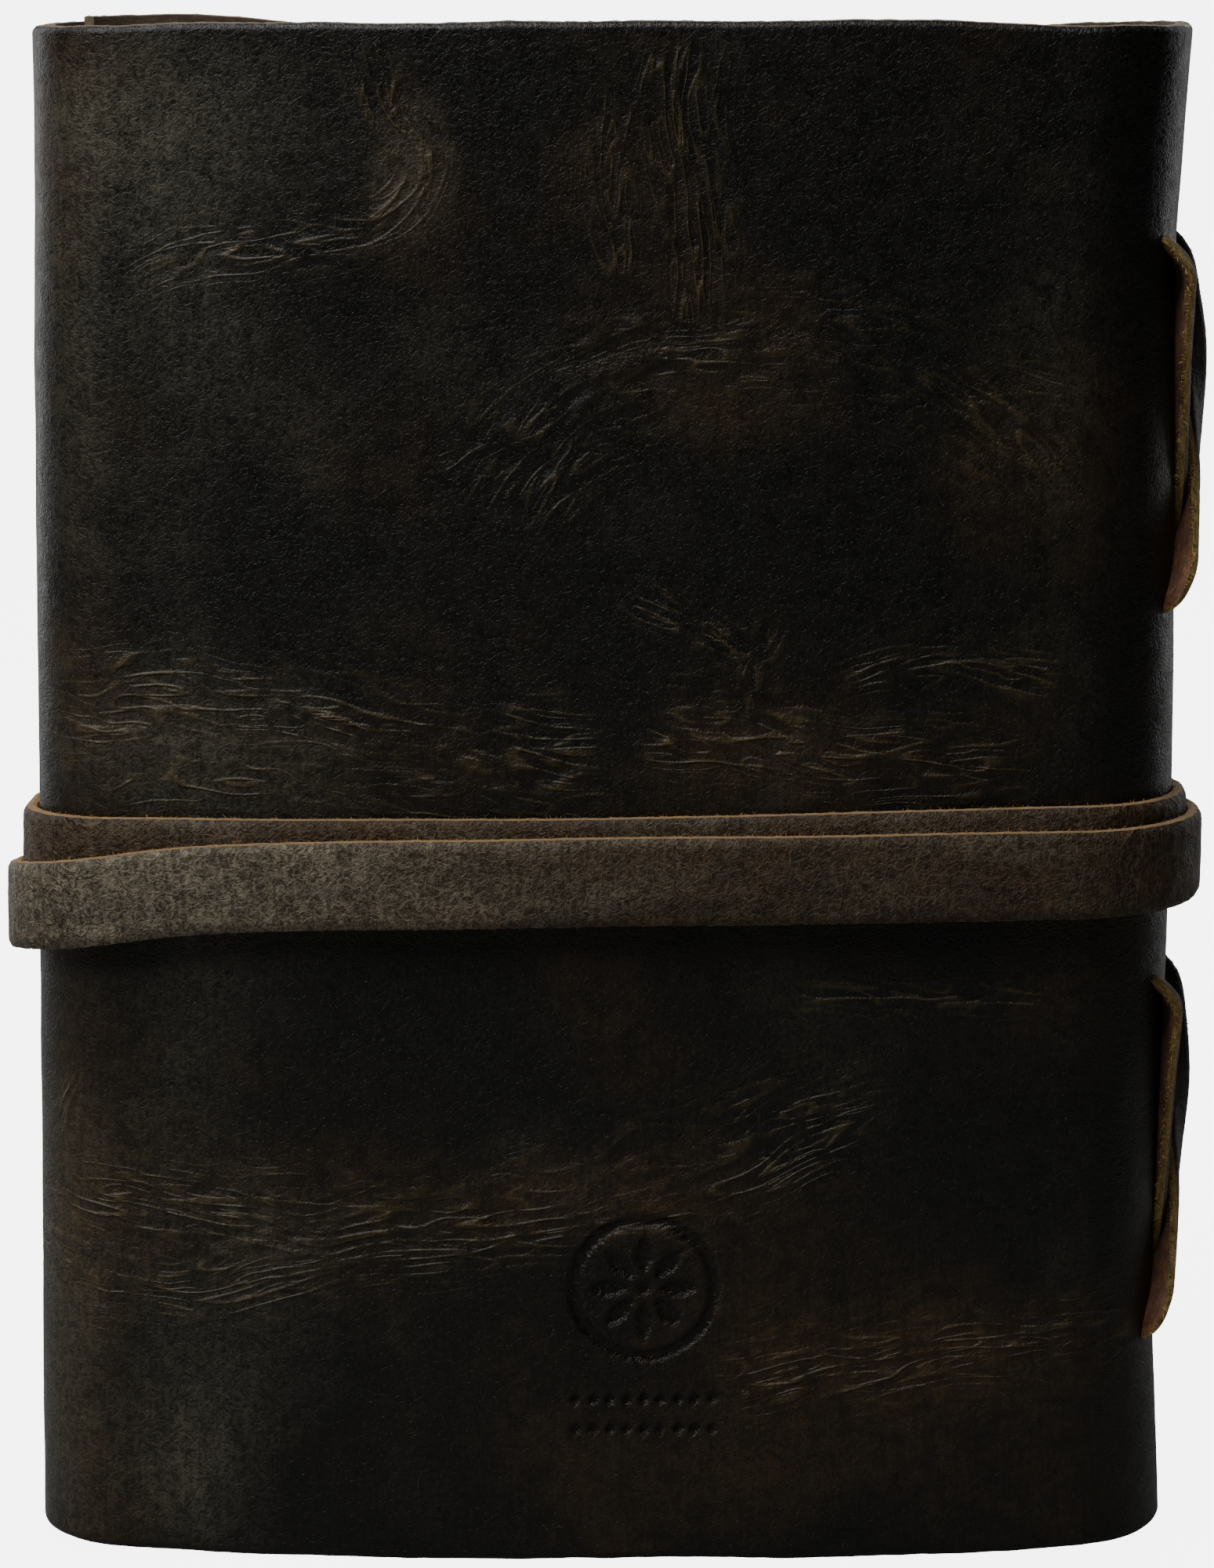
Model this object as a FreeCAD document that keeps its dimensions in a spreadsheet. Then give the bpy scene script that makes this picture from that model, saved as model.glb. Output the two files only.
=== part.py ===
"""Leather wrap journal, standing upright.

+Z is up, the back cover faces -Y, the spine is at +X and the fore-edge at -X. The hide and the
strap are flat slabs joined by round bands about upright axes, and they are split halfway round
each fold, which is where their joints turn.
"""

import FreeCAD, Part
import os
import re
import Sketcher
from FreeCAD import Placement, Rotation, Vector

doc = FreeCAD.newDocument("wrap_journal")

# ---------------------------------------------------------------- dimensions
DRIVING = {
    "cover_height": 203.0,
    "cover_width": 150.0,
    "book_depth": 29.0,
    "centre_shift": 1.4,
    "hide_thick": 2.5,
    "fold_radius": 12.0,
    "flap_edge": 15.0,
    "flap_corner": 14.0,
    "lap_length": 21.0,
    "lap_thick": 1.1,
    "strap_thick": 1.9,
    "strap_width": 11.5,
    "strap_gap": 0.2,
    "strap_low": 87.0,
    "strap_rise": 2.2,
    "strap_tail": -15.0,
    "leaf_low": 3.0,
    "leaf_height": 197.0,
    "leaf_edge": -62.0,
    "leaf_spine": 57.0,
    "leaf_corner": 4.0,
    "leaves_thick": 5.75,
    "leaves_gap": 0.2,
    "thong_width": 5.0,
    "thong_thick": 1.7,
    "thong_gap": 0.15,
    "thong_inset": 0.2,
    "slit_gap": 0.2,
    "crossing_flat": 24.0,
    "upper_low": 128.0,
    "upper_high": 173.0,
    "lower_low": 28.5,
    "lower_high": 74.5,
}

DERIVED = {
    "spine_outer": "book_depth / 2",
    "spine_x": "cover_width / 2 - book_depth / 2",
    "spine_y": "0 - centre_shift",
    "back_y": "0 - centre_shift - book_depth / 2",
    "front_y": "book_depth / 2 - centre_shift",
    "fold_x": "fold_radius - cover_width / 2",
    "back_fold_y": "back_y + fold_radius",
    "front_fold_y": "0 - back_fold_y",
    "flap_inner": "0 - back_y - hide_thick",
    "lip_outer": "front_y - front_fold_y",
    "strap_pitch": "strap_thick + strap_gap",
    "first_turn": "strap_low + strap_rise",
    "second_turn": "strap_low + 0",
    "between_turns": "strap_low + strap_rise / 2",
    "section_thick": "2 * leaves_thick + leaves_gap",
    "leaves_pitch": "leaves_thick + leaves_gap",
    "rear_section": "back_y + hide_thick + leaves_gap",
    "front_section": "rear_section + 2 * leaves_pitch",
    "rear_centre": "rear_section + section_thick / 2",
    "front_centre": "front_section + section_thick / 2",
    "slit_wide": "thong_width + 2 * slit_gap",
    "slit_tall": "thong_thick + 2 * slit_gap",
    "thong_seat": "cover_width / 2 - thong_inset",
    "thong_valley": "leaf_spine + leaves_gap + slit_gap / 2",
}

sheet = doc.addObject("Spreadsheet::Sheet", "dims")
for row, (alias, number) in enumerate(DRIVING.items(), start=1):
    sheet.set(f"A{row}", alias)
    sheet.set(f"B{row}", str(number))
    sheet.setAlias(f"B{row}", alias)
for row, (alias, formula) in enumerate(DERIVED.items(), start=len(DRIVING) + 2):
    sheet.set(f"A{row}", alias)
    sheet.set(f"B{row}", f"={formula}")
    sheet.setAlias(f"B{row}", alias)
doc.recompute()


def sized(text):
    """The expression with each of the sheet's aliases written as dims.alias."""
    return re.sub(r"[a-z_]+", lambda word: f"dims.{word[0]}" if "_" in word[0] else word[0], text)


def bind(item, **expressions):
    """Binds each named property to the sheet. x, y and z are the object's place."""
    for name, text in expressions.items():
        path = f"Placement.Base.{name}" if name in ("x", "y", "z") else name
        item.setExpression(path, sized(text))
    return item


# ---------------------------------------------------------------- shapes that repeat
def slab(name, x, y, z, size):
    """A box from its low corner and its three sides."""
    box = doc.addObject("Part::Box", name)
    return bind(box, x=x, y=y, z=z, Length=size[0], Width=size[1], Height=size[2])


def sector(name, x, y, z, radius, high, start, sweep):
    """A slice of an upright cylinder, from the angle start over the angle sweep."""
    wedge = doc.addObject("Part::Cylinder", name)
    wedge.Angle = sweep
    wedge.Placement = Placement(Vector(), Rotation(Vector(0, 0, 1), start))
    return bind(wedge, x=x, y=y, z=z, Radius=radius, Height=high)


def cut(name, base, tool):
    result = doc.addObject("Part::Cut", name)
    result.Base = base
    result.Tool = tool
    return result


def fused(name, shapes):
    result = doc.addObject("Part::MultiFuse", name)
    result.Shapes = shapes
    result.Refine = True
    return result


def round_band(name, x, y, z, inner, thick, high, start, sweep):
    """A bent strip of even thickness: a slice of an upright tube."""
    outside = sector(f"{name}_outside", x, y, z, f"{inner} + {thick}", high, start, sweep)
    inside = sector(f"{name}_inside", x, y, z, inner, high, start, sweep)
    return cut(name, outside, inside)


def outlined(name, role, points, thick, both_ways=False):
    """A body padded from a straight-sided outline on one of its origin planes."""
    body = doc.addObject("PartDesign::Body", name)
    plane = next(o for o in body.Origin.OriginFeatures if o.Role == role)
    sketch = body.newObject("Sketcher::SketchObject", f"{name}_outline")
    sketch.AttachmentSupport = [(plane, "")]
    sketch.MapMode = "FlatFace"
    count = len(points)
    first_guess = [sheet_point(point) for point in points]
    for here in range(count):
        ends = first_guess[here], first_guess[(here + 1) % count]
        sketch.addGeometry(Part.LineSegment(*ends))
    for here in range(count):
        sketch.addConstraint(Sketcher.Constraint("Coincident", here, 2, (here + 1) % count, 1))
    for here, (across, along) in enumerate(points):
        for kind, text, guess in (
            ("DistanceX", across, first_guess[here].x),
            ("DistanceY", along, first_guess[here].y),
        ):
            number = sketch.addConstraint(Sketcher.Constraint(kind, -1, 1, here, 1, guess))
            sketch.setExpression(f"Constraints[{number}]", sized(text))
    pad = body.newObject("PartDesign::Pad", f"{name}_pad")
    pad.Profile = sketch
    pad.Midplane = both_ways
    pad.Reversed = not both_ways and role == "XZ_Plane"
    bind(pad, Length=thick)
    doc.recompute()
    return body


def sheet_point(point):
    """Where an outline's corner stands for the sheet's present numbers."""
    for column, text in zip("DE", point):
        sheet.set(f"{column}1", f"={text}")
    sheet.recompute()
    return Vector(sheet.get("D1"), sheet.get("E1"), 0)


def round_corners(body, name, radius, is_corner):
    """Rounds the edges of the body that is_corner picks by their middles and directions."""
    chosen = []
    for number, edge in enumerate(body.Tip.Shape.Edges, start=1):
        along = (edge.Vertexes[-1].Point - edge.Vertexes[0].Point).normalize()
        if is_corner(edge.CenterOfMass, along):
            chosen.append(f"Edge{number}")
    rounding = body.newObject("PartDesign::Fillet", name)
    rounding.Base = (body.getObject(f"{body.Name}_pad"), chosen)
    bind(rounding, Radius=radius)
    doc.recompute()


nodes = []


def keep(label, shape):
    """Labels a finished sub-part, and keeps it for the export."""
    shape.Label = label
    nodes.append(shape)


# ---------------------------------------------------------------- the hide
def hide_fold(name, x, y, outer, start, sweep):
    inner = f"{outer} - hide_thick"
    return round_band(name, x, y, "0", inner, "hide_thick", "cover_height", start, sweep)


def make_back_cover():
    size = ("spine_x - fold_x", "hide_thick", "cover_height")
    panel = slab("back_panel", "fold_x", "back_y", "0", size)
    half_fold = hide_fold("back_half_fold", "fold_x", "back_fold_y", "fold_radius", 225, 45)
    keep("back_cover", fused("BackCover", [panel, half_fold]))


def make_spine_panel():
    """The round spine, slit for each end of each outer thong run."""
    band = hide_fold("spine_band", "spine_x", "spine_y", "spine_outer", -90, 135)
    slits = []
    for level in ("upper_low", "upper_high", "lower_low", "lower_high"):
        for side in ("rear_centre", "front_centre"):
            name = f"slit_{level}_{side}"
            size = ("spine_outer + hide_thick", "slit_wide", "slit_tall")
            slits.append(slab(name, "spine_x", f"{side} - slit_wide / 2", f"{level} - slit_gap", size))
    keep("spine_panel", cut("SpinePanel", band, fused("spine_slits", slits)))


def make_front_cover():
    """The front cover, whose free edge curls down inside the fore-edge wrap."""
    size = ("spine_x - fold_x", "hide_thick", "cover_height")
    panel = slab("front_panel", "fold_x", "front_y - hide_thick", "0", size)
    half_fold = hide_fold("front_half_fold", "spine_x", "spine_y", "spine_outer", 45, 45)
    lip = hide_fold("front_lip", "fold_x", "front_fold_y", "lip_outer", 90, 50)
    keep("front_cover", fused("FrontCover", [panel, half_fold, lip]))


def make_foreedge_wrap():
    size = ("hide_thick", "front_fold_y - back_fold_y", "cover_height")
    wall = slab("foreedge_wall", "0 - cover_width / 2", "back_fold_y", "0", size)
    back_half = hide_fold("wrap_back_half", "fold_x", "back_fold_y", "fold_radius", 180, 45)
    front_half = hide_fold("wrap_front_half", "fold_x", "front_fold_y", "fold_radius", 135, 45)
    keep("foreedge_wrap", fused("ForeedgeWrap", [wall, back_half, front_half]))


def make_flap():
    """The flap, its free corners round, with a skived seat for the strap inside its free edge."""
    corners = [("fold_x", "0 * fold_x"), ("flap_edge", "0 * fold_x")]
    corners += [("flap_edge", "cover_height"), ("fold_x", "cover_height")]
    panel = outlined("flap_panel", "XZ_Plane", corners, "hide_thick")
    free_edge = DRIVING["flap_edge"] - 1
    round_corners(
        panel,
        "flap_corners",
        "flap_corner",
        lambda middle, along: middle.x > free_edge and abs(along.y) > 0.9,
    )
    bind(panel, y="flap_inner")
    half_fold = hide_fold("flap_half_fold", "fold_x", "front_fold_y", "fold_radius", 90, 45)
    seat = slab(
        "lap_seat",
        "flap_edge - lap_length - strap_gap",
        "flap_inner - strap_gap",
        "first_turn - strap_gap",
        (
            "lap_length + 2 * strap_gap",
            "lap_thick + 1.5 * strap_gap",
            "strap_width + 2 * strap_gap",
        ),
    )
    keep("flap", cut("Flap", fused("flap_leather", [panel, half_fold]), seat))


# ---------------------------------------------------------------- the text block
def make_leaves(label, low):
    """One half of a section's leaves, as a block with rounded fore-edge corners."""
    corners = [("leaf_edge", "leaf_low"), ("leaf_spine", "leaf_low")]
    corners += [("leaf_spine", "leaf_low + leaf_height"), ("leaf_edge", "leaf_low + leaf_height")]
    block = outlined(f"{label}_block", "XZ_Plane", corners, "leaves_thick")
    fore_edge = DRIVING["leaf_edge"] + 1
    round_corners(
        block,
        f"{label}_corners",
        "leaf_corner",
        lambda middle, along: middle.x < fore_edge and abs(along.y) > 0.9,
    )
    bind(block, y=low)
    keep(label, block)


def make_section_fold(label, low, centre):
    """The spine end of a section: its sheets' round backs, with a valley and slits for a thong."""
    start = "leaf_spine + leaves_gap"
    size = (f"spine_x - {start}", "section_thick", "leaf_height")
    straight = slab(f"{label}_straight", start, low, "leaf_low", size)
    backs = sector(
        f"{label}_backs", "spine_x", centre, "leaf_low", "section_thick / 2", "leaf_height", -90, 180
    )
    size = ("thong_thick + 2 * slit_gap", "slit_wide", "leaf_height")
    holes = [slab(f"{label}_valley", "leaf_spine", f"{centre} - slit_wide / 2", "leaf_low", size)]
    for level in ("upper_low", "lower_low"):
        size = ("spine_outer", "slit_wide", "slit_tall")
        place = ("leaf_spine", f"{centre} - slit_wide / 2", f"{level} - slit_gap")
        holes.append(slab(f"{label}_{level}", *place, size))
    solid = fused(f"{label}_solid", [straight, backs])
    keep(label, cut(f"{label}_sheets", solid, fused(f"{label}_holes", holes)))


def make_text_block():
    for number, low, centre in (
        (1, "front_section", "front_centre"),
        (2, "rear_section", "rear_centre"),
    ):
        make_section_fold(f"section_{number}_fold", low, centre)
        make_leaves(f"section_{number}_rear_leaves", low)
        make_leaves(f"section_{number}_front_leaves", f"{low} + leaves_pitch")


# ---------------------------------------------------------------- the lacing
def make_thong(label, station, inner_face, top_side, bottom_side):
    """One thong: out of a top slit, slanting over the spine, in below and up inside a fold."""
    rise = f"({station}_high - {station}_low + thong_thick)"
    shift = f"({top_side} - {bottom_side})"
    half = f"(sqrt({rise} ^ 2 + {shift} ^ 2) / 2)"
    bends = [("thong_seat", f"0 - {half}"), (inner_face, "0 - crossing_flat / 2")]
    bends += [(inner_face, "crossing_flat / 2"), ("thong_seat", half)]
    outline = bends + [(f"{x} + thong_thick", along) for x, along in reversed(bends)]
    run = outlined(f"{label}_run", "XZ_Plane", outline, "thong_width", both_ways=True)
    run.Placement = Placement(Vector(), Rotation(Vector(1, 0, 0), 0))
    bind(run, y="spine_y", z=f"{station}_low + {rise} / 2")
    run.setExpression("Placement.Rotation.Angle", sized(f"atan({shift} / {rise})"))
    run.Placement.Rotation.Axis = Vector(-1, 0, 0)

    outer_end = "thong_seat + thong_thick"
    hollow = "(spine_x + spine_outer / 2)"
    legs = [
        slab(
            f"{label}_top_leg",
            hollow,
            f"{top_side} - thong_width / 2",
            f"{station}_high",
            (f"{outer_end} - {hollow}", "thong_width", "thong_thick"),
        ),
        slab(
            f"{label}_bottom_leg",
            "thong_valley",
            f"{bottom_side} - thong_width / 2",
            f"{station}_low",
            (f"{outer_end} - thong_valley", "thong_width", "thong_thick"),
        ),
        slab(
            f"{label}_inner_leg",
            "thong_valley",
            f"{bottom_side} - thong_width / 2",
            f"{station}_low",
            ("thong_thick", "thong_width", f"{station}_high - {station}_low"),
        ),
    ]
    keep(label, fused(f"{label}_strip", [run] + legs))


def make_lacing():
    under_face = "(cover_width / 2 + thong_gap)"
    over_face = "(cover_width / 2 + 2 * thong_gap + thong_thick)"
    for station in ("upper", "lower"):
        make_thong(f"{station}_thong_over", station, over_face, "front_centre", "rear_centre")
        make_thong(f"{station}_thong_under", station, under_face, "rear_centre", "front_centre")


# ---------------------------------------------------------------- the strap
def strap_bend(name, x, y, z, radius, start, sweep):
    """A bend of the strap that lies against a fold of the given outer radius."""
    inner = f"{radius} + strap_gap"
    return round_band(name, x, y, z, inner, "strap_thick", "strap_width", start, sweep)


def strap_run(name, x, y, z, long):
    return slab(name, x, y, z, (long, "strap_thick", "strap_width"))


def make_strap_root():
    """The skived end that is sewn under the flap's free edge, and its run to the spine."""
    size = ("lap_length + strap_thick", "lap_thick", "strap_width")
    lap = slab("root_lap", "flap_edge - lap_length", "flap_inner", "first_turn", size)
    start = "(flap_edge + strap_gap)"
    run = strap_run("root_run", start, "front_y + strap_gap", "first_turn", f"spine_x - {start}")
    half_bend = strap_bend("root_bend", "spine_x", "spine_y", "first_turn", "spine_outer", 45, 45)
    keep("strap_root", fused("StrapRoot", [lap, run, half_bend]))


def make_strap_turn(turn, level, layers_below):
    """The strap's way round the spine, across the back cover and round the fore-edge."""
    spine_radius = f"spine_outer + {layers_below} * strap_pitch"
    fold_radius = f"fold_radius + {layers_below} * strap_pitch"
    reach = f"({layers_below} * strap_pitch + strap_gap + strap_thick)"

    spine = strap_bend(f"spine_bend_{turn}", "spine_x", "spine_y", level, spine_radius, -45, 90)
    keep(f"strap_spine_{turn}", spine)

    leave = strap_bend(f"leave_spine_{turn}", "spine_x", "spine_y", level, spine_radius, -90, 45)
    run = strap_run(f"back_run_{turn}", "fold_x", f"back_y - {reach}", level, "spine_x - fold_x")
    arrive = strap_bend(f"meet_fold_{turn}", "fold_x", "back_fold_y", level, fold_radius, 225, 45)
    keep(f"strap_back_{turn}", fused(f"StrapBack{turn}", [leave, run, arrive]))

    back_half = strap_bend(f"wall_back_{turn}", "fold_x", "back_fold_y", level, fold_radius, 180, 45)
    size = ("strap_thick", "front_fold_y - back_fold_y", "strap_width")
    wall = slab(f"wall_run_{turn}", f"0 - cover_width / 2 - {reach}", "back_fold_y", level, size)
    front_half = strap_bend(
        f"wall_front_{turn}", "fold_x", "front_fold_y", level, fold_radius, 135, 45
    )
    keep(f"strap_foreedge_{turn}", fused(f"StrapForeedge{turn}", [back_half, wall, front_half]))


def make_strap_front():
    """The run over the flap, which steps down past the flap's edge to the second turn."""
    level = "between_turns"
    over_flap = "(strap_gap - back_y)"
    over_root = "(front_y + strap_gap + strap_pitch)"
    step = "(flap_edge + strap_thick)"
    arrive = strap_bend("front_arrive", "fold_x", "front_fold_y", level, "fold_radius", 90, 45)
    run = strap_run("front_run", "fold_x", over_flap, level, f"{step} - fold_x")
    corners = [(step, over_flap), ("spine_x", over_root)]
    corners += [(x, f"{y} + strap_thick") for x, y in reversed(corners)]
    slope = outlined("front_slope", "XY_Plane", corners, "strap_width")
    bind(slope, z=level)
    radius = "spine_outer + strap_pitch"
    leave = strap_bend("front_leave", "spine_x", "spine_y", level, radius, 45, 45)
    keep("strap_front", fused("StrapFront", [arrive, run, slope, leave]))


def make_strap_tail():
    """The strap's free end, pulled over its first turn on the flap."""
    radius = "fold_radius + strap_pitch"
    bend = strap_bend("tail_bend", "fold_x", "front_fold_y", "second_turn", radius, 90, 45)
    level = "strap_gap + strap_pitch - back_y"
    run = strap_run("tail_run", "fold_x", level, "second_turn", "strap_tail - fold_x")
    keep("strap_tail", fused("StrapTail", [bend, run]))


# ---------------------------------------------------------------- the journal
make_back_cover()
make_spine_panel()
make_front_cover()
make_foreedge_wrap()
make_flap()
make_text_block()
make_lacing()
make_strap_root()
make_strap_turn(1, "first_turn", 0)
make_strap_front()
make_strap_turn(2, "second_turn", 1)
make_strap_tail()
doc.recompute()

for item in doc.Objects:
    if {"Invalid", "Error"} & set(item.State):
        raise RuntimeError(f"{item.Label} did not recompute: {item.State}")
for item in nodes:
    if item.Shape.isNull() or not item.Shape.isValid():
        raise RuntimeError(f"{item.Label} has no valid shape")
    if len(item.Shape.Solids) != 1:
        raise RuntimeError(f"{item.Label} is {len(item.Shape.Solids)} solids")

os.makedirs("parts", exist_ok=True)
for item in nodes:
    item.Shape.exportStep(os.path.join("parts", f"{item.Label}.step"))
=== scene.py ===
"""A handmade leather journal seen from its back cover. One hide goes round two sewn sections of rag paper,
thongs lace them at the spine, and a strap holds it shut. Lengths are in millimetres until a mesh is made."""

import math

import bpy
import numpy as np
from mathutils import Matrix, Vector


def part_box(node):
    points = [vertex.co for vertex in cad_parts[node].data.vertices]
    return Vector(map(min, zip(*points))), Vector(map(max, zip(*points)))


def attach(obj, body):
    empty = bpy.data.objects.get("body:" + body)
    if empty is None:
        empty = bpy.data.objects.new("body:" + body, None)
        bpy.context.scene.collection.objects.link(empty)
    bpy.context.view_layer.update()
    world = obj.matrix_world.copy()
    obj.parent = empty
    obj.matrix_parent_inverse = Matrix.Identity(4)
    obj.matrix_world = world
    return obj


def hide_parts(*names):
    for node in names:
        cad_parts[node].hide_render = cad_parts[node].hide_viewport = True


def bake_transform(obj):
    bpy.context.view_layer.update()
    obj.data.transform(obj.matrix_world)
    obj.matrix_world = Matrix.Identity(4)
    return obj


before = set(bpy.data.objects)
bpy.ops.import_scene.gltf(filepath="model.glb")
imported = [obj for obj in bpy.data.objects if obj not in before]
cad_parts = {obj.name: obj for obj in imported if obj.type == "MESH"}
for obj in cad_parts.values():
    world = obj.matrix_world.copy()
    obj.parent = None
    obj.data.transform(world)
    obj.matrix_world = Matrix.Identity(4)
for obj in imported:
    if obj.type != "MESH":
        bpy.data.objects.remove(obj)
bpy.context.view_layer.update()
MM = 0.001


def span(node):
    """Lowest and highest corner of a CAD node, in millimetres."""
    return [np.array(corner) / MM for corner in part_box(node)]


# -------------------- sizes, read from the frame
HIDE = 2.5
HEIGHT = span("back_cover")[1][2]
BACK_Y = span("back_cover")[0][1]
FRONT_Y = span("front_cover")[1][1]
FLAP_Y = span("flap")[1][1]
FLAP_EDGE = span("flap")[1][0]
WALL_X = span("foreedge_wrap")[0][0]
SPINE_X = span("spine_panel")[1][0]
SPINE_R = (FRONT_Y - BACK_Y) / 2
SPINE_CX, SPINE_CY = SPINE_X - SPINE_R, (FRONT_Y + BACK_Y) / 2
FOLD_R = 12.0
FOLD_CX = WALL_X + FOLD_R
WALL = FLAP_Y - BACK_Y - 2 * FOLD_R
FLAP_CORNER = 14.0
LIP_R, LIP_TURN = 9.2, 50

STRAP_WIDE, STRAP_THICK = 11.5, 1.9
STRAP_OFF = 0.2
STRAP_PITCH = STRAP_THICK + STRAP_OFF
LAP = 21.0
TAIL_SINK = 1.8

LEAF_LOW, LEAF_HIGH = span("section_1_front_leaves")[0][2], span("section_1_front_leaves")[1][2]
LEAF_EDGE = span("section_1_front_leaves")[0][0]
LEAVES, LEAF_THICK = 20, 0.2

THONG_WIDE, THONG_THICK = 5.0, 1.7
NEAR_Y = (span("section_2_rear_leaves")[0][1] + span("section_2_front_leaves")[1][1]) / 2
FAR_Y = (span("section_1_rear_leaves")[0][1] + span("section_1_front_leaves")[1][1]) / 2


# -------------------- small mathematics
def ease(value, low, high):
    """0 below low, 1 above high, smooth between them."""
    share = np.clip((value - low) / (high - low), 0, 1)
    return share * share * (3 - 2 * share)


def unit(vectors):
    return vectors / np.maximum(np.linalg.norm(vectors, axis=-1, keepdims=True), 1e-9)


class Noise:
    """Seeded gradient noise over a plane, from about -0.7 to 0.7."""

    def __init__(self, seed):
        rng = np.random.default_rng(seed)
        self.order = rng.permutation(256)
        turn = rng.uniform(0, 2 * math.pi, 256)
        self.gx, self.gy = np.cos(turn), np.sin(turn)

    def __call__(self, x, y):
        x, y = np.broadcast_arrays(np.asarray(x, float), np.asarray(y, float))
        ix, iy = np.floor(x).astype(int), np.floor(y).astype(int)
        fx, fy = x - ix, y - iy
        wx, wy = (f * f * f * (f * (f * 6 - 15) + 10) for f in (fx, fy))

        def pull(dx, dy):
            spot = self.order[(self.order[(ix + dx) & 255] + iy + dy) & 255]
            return self.gx[spot] * (fx - dx) + self.gy[spot] * (fy - dy)

        low = pull(0, 0) * (1 - wx) + pull(1, 0) * wx
        high = pull(0, 1) * (1 - wx) + pull(1, 1) * wx
        return low * (1 - wy) + high * wy

    def rough(self, x, y, octaves=3):
        return sum(self(x * 2**k + 17 * k, y * 2**k + 31 * k) / 2**k for k in range(octaves))


LUMPS, NETS, TINTS, EDGES = Noise(11), Noise(23), Noise(37), Noise(53)


ARC_STEPS = 60


class Route:
    """A line in plan of straight runs and arcs. hand is 1 where it goes round the book counter-clockwise."""

    def __init__(self, x, y, hand):
        self.hand = hand
        self.rows = [(0.0, x, y, math.pi / 2)]
        self.marks = [0.0]

    def run(self, length, rise=0.0):
        s, x, y, facing = self.rows[-1]
        heading = facing + self.hand * math.pi / 2
        x += length * math.cos(heading) + rise * math.cos(facing)
        y += length * math.sin(heading) + rise * math.sin(facing)
        self.rows.append((s + length, x, y, facing))
        self.marks.append(s + length)

    def arc(self, radius, degrees):
        s, x, y, facing = self.rows[-1]
        cx, cy = x - radius * math.cos(facing), y - radius * math.sin(facing)
        for share in np.linspace(0, 1, ARC_STEPS + 1)[1:]:
            turn = math.radians(degrees) * share
            angle = facing + self.hand * turn
            spot = cx + radius * math.cos(angle), cy + radius * math.sin(angle)
            self.rows.append((s + radius * turn, *spot, angle))
        self.marks.append(self.rows[-1][0])

    def at(self, s):
        """Points, outward normals and headings at lengths s, as arrays of x and y."""
        table = np.array(self.rows).T
        x, y, facing = (np.interp(s, table[0], row) for row in table[1:])
        heading = facing + self.hand * math.pi / 2
        return x, y, np.cos(facing), np.sin(facing), np.cos(heading), np.sin(heading)

    def place(self, s, z):
        x, y = self.at(s)[:2]
        return (float(x) * MM, float(y) * MM, z * MM)


CROWN_HALF, BACK_CROWN, FRONT_CROWN = 66, 4.0, 2.0
WAIST_Z = (0, 10, 31, 60, 85, 110, 150, 176, 190, 203)
WAIST_OUT = (0.4, 0.1, -1.1, -0.5, 0.1, 0.2, -0.1, -0.5, 0.3, 1.0)


def settle(points):
    """How the filled book sits: the covers crown, the fore-edge leans and the lacing waists the spine."""
    x, y, z = points[..., 0], points[..., 1], points[..., 2]
    swell = np.log1p(np.exp(6 * (1 - (x / CROWN_HALF) ** 2))) / 6
    side = np.clip(y / 14, -1, 1)
    crown = np.where(side < 0, BACK_CROWN, FRONT_CROWN) * swell * side
    lean = ((z - HEIGHT / 2) * 0.012 - 0.5) * ease(-x, 0, 75)
    waist = np.interp(z, WAIST_Z, WAIST_OUT)
    nip = (z / HEIGHT * 2 - 1) * 0.9 * (np.abs(x) / 75) ** 3
    return np.stack([x + lean + waist * ease(x, 20, 72), y + crown, z - nip], axis=-1)


def ticks(*stops):
    """Positions from stop to stop: each stop is where it is and how far apart the positions after it are."""
    spots = [stops[0][0]]
    for (here, step), (there, _) in zip(stops, stops[1:]):
        spots.extend(np.linspace(here, there, max(1, math.ceil((there - here) / step)) + 1)[1:])
    return np.array(spots)


def grouped(spots, group):
    """The same positions with a few more, so that they make whole groups."""
    while (len(spots) - 1) % group:
        widest = int(np.argmax(np.diff(spots)))
        spots = np.insert(spots, widest + 1, (spots[widest] + spots[widest + 1]) / 2)
    return spots


# -------------------- meshes
PLACE, SHEET, CREASE, TONE = slice(0, 3), slice(3, 6), slice(6, 9), slice(9, 12)
CHANNELS = 12


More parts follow.
